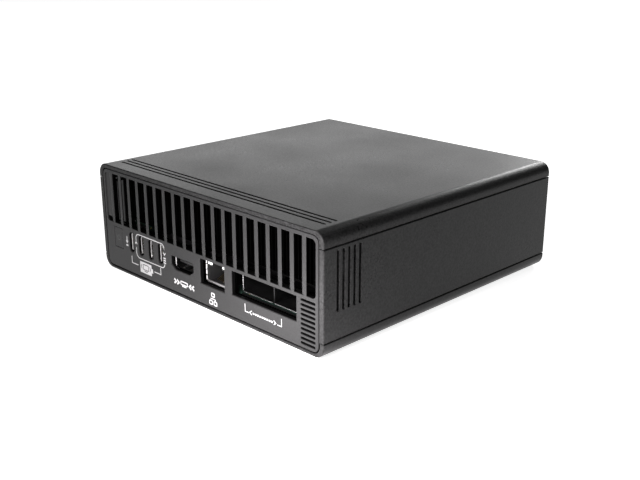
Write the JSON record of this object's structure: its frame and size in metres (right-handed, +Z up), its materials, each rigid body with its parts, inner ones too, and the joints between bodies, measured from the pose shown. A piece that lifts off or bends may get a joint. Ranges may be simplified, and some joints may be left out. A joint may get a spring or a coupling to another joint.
{
  "type": "mini pc",
  "caption": "Square low desktop computer with a rounded dark shell, an upright-louvred rear panel over its ports, feet, a power key and twin blowers.",
  "frame": {"origin": "on the table under the middle of the body, in the plane of the four feet", "axes": "+Z up, +Y towards the rear face with the ports, +X towards the power key's side"},
  "size_m": [0.15, 0.15, 0.052],
  "materials": {
    "shell_paint": "fine sand-textured dark grey coat",
    "panel_paint": "satin dark grey coat",
    "black_steel": "black coat on steel",
    "tray_steel": "zinc-plated sheet",
    "port_steel": "tin-plated connector shell",
    "foot_rubber": "matt",
    "screw_steel": "zinc",
    "board_laminate": "solder mask",
    "package_resin": "moulding compound",
    "lid_nickel": "nickel plate",
    "copper": "bare copper",
    "fin_black": "blackened fins and heat pipes",
    "fan_plastic": "black glass-filled moulding",
    "bush_brass": "sintered",
    "connector_plastic": "black moulding",
    "light_pipe": "clear to milky moulding",
    "lead_jacket": "thin coaxial jacket",
    "marking_ink": "pad-printed white marks",
    "contact_gold": "gold-plated contacts"
  },
  "bodies": {
    "chassis": {"top_cover": "shell_paint", "bottom_cover": "shell_paint", "side_wall_left": "shell_paint", "side_wall_right": "shell_paint", "rear_panel": "panel_paint", "front_panel": "panel_paint", "io_shield": "black_steel", "chassis_tray": "tray_steel", "foot_rear_left": "foot_rubber", "foot_rear_right": "foot_rubber", "foot_front_left": "foot_rubber", "foot_front_right": "foot_rubber", "bottom_screws": "black_steel", "main_board": "board_laminate", "board_standoffs": "tray_steel", "board_screws": "screw_steel", "processor_package": "package_resin", "processor_lid": "lid_nickel", "memory_chips": "package_resin", "network_chip": "package_resin", "power_chokes": "package_resin", "rtc_battery": "lid_nickel", "ssd_module": "board_laminate", "wifi_module": "board_laminate", "card_connectors": "connector_plastic", "antenna_left": "board_laminate", "antenna_right": "board_laminate", "antenna_lead_left": "lead_jacket", "antenna_lead_right": "lead_jacket", "cold_plate": "copper", "cooler_screws": "screw_steel", "heat_pipe_left": "fin_black", "heat_pipe_centre": "fin_black", "heat_pipe_right": "fin_black", "fin_stack": "fin_black", "fan_left_housing": "fan_plastic", "fan_left_cover": "fan_plastic", "fan_left_stator": "copper", "fan_right_housing": "fan_plastic", "fan_right_cover": "fan_plastic", "fan_right_stator": "copper", "fan_bushes": "bush_brass", "power_switch": "connector_plastic", "button_board": "board_laminate", "usb_c_shell_1": "port_steel", "usb_c_shell_2": "port_steel", "usb_c_shell_3": "port_steel", "usb_c_shell_4": "port_steel", "usb_c_tongues": "connector_plastic", "hdmi_shell": "port_steel", "hdmi_tongue": "connector_plastic", "lan_shell": "port_steel", "lan_insert": "connector_plastic", "lan_lights": "light_pipe", "qsfp_cage": "port_steel", "qsfp_connectors": "connector_plastic"},
    "power_key": {"power_button": "panel_paint", "switch_plunger": "connector_plastic"},
    "rotor_left": {"fan_left_rotor": "fan_plastic"},
    "rotor_right": {"fan_right_rotor": "fan_plastic"}
  },
  "joints": [
    {"name": "power_key_press", "type": "slide", "parent": "chassis", "child": "power_key", "axis": [0, -1, 0], "range_m": [0, 0.0005], "stiffness_N_per_m": 1500},
    {"name": "rotor_left_spin", "type": "hinge", "parent": "chassis", "child": "rotor_left", "pos_m": [0.0345, 0.008, 0.0377], "axis": [0, 0, 1], "continuous": true},
    {"name": "rotor_right_spin", "type": "hinge", "parent": "chassis", "child": "rotor_right", "pos_m": [-0.0345, 0.008, 0.0377], "axis": [0, 0, 1], "continuous": true}
  ]
}
